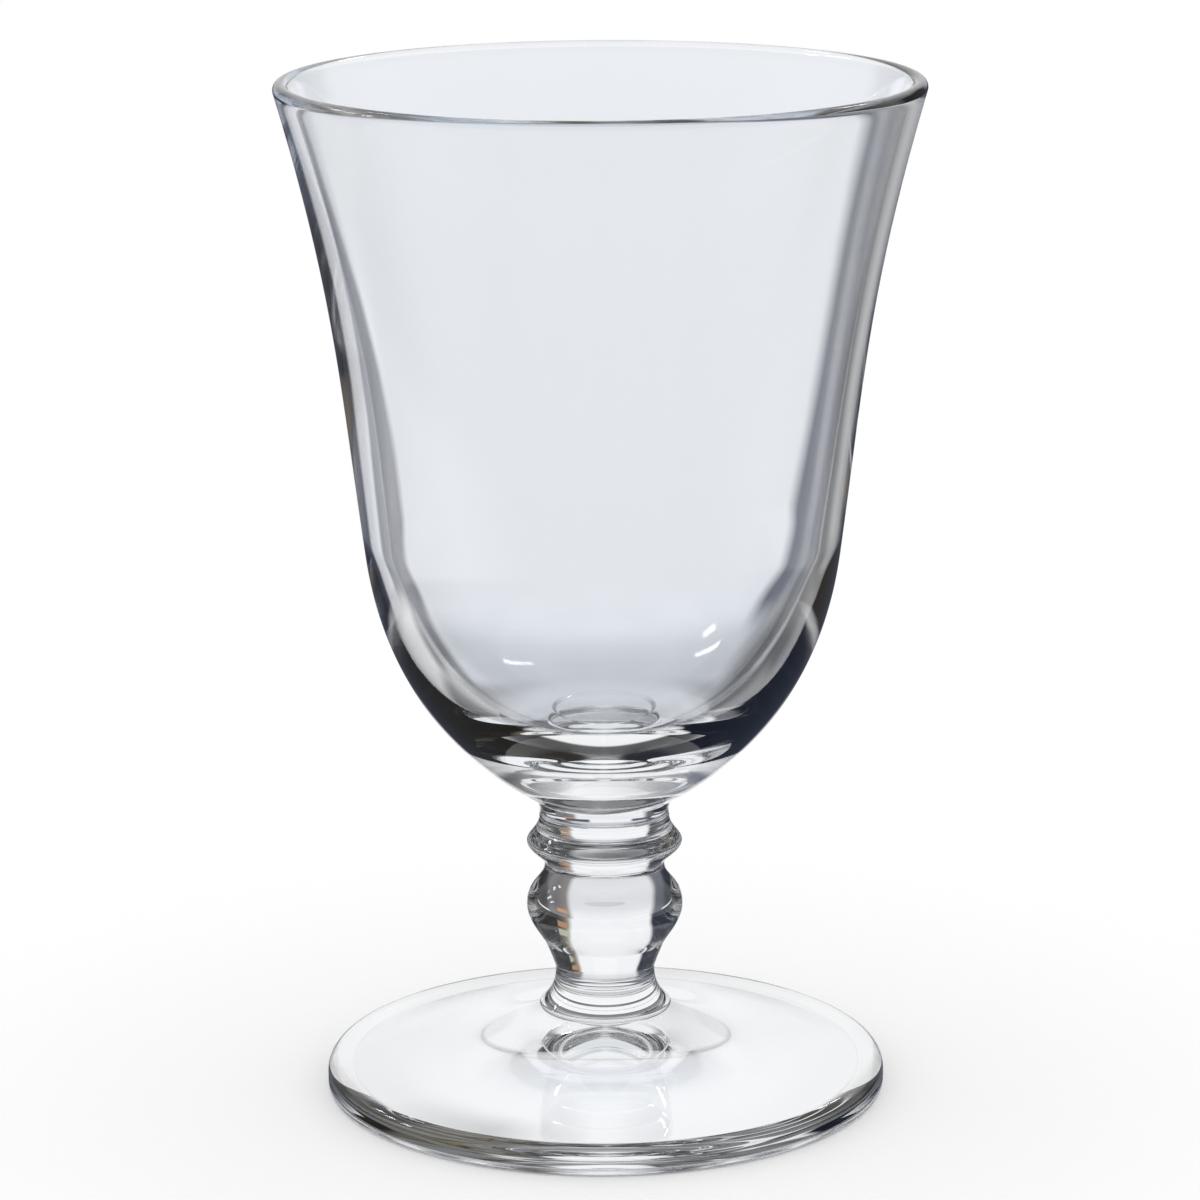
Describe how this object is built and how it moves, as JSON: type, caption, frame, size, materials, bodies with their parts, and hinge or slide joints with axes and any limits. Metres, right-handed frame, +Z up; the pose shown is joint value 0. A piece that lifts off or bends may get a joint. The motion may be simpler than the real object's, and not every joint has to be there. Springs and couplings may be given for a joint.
{
  "type": "sake glass",
  "caption": "Clear stem glass for chilled sake, with a bell-shaped bowl on a thick heel, a knopped and ringed stem and a round foot.",
  "frame": {"origin": "on the axis of the glass, in the plane that the foot stands on", "axes": "+Z up along the axis of the glass, from the foot to the lip"},
  "size_m": [0.062, 0.062, 0.1],
  "materials": {
    "clear_glass": "clear, fire-polished"
  },
  "bodies": {
    "root": {"foot": "clear_glass", "skirt": "clear_glass", "knop": "clear_glass", "ring": "clear_glass", "collar": "clear_glass", "bowl": "clear_glass"}
  },
  "joints": []
}
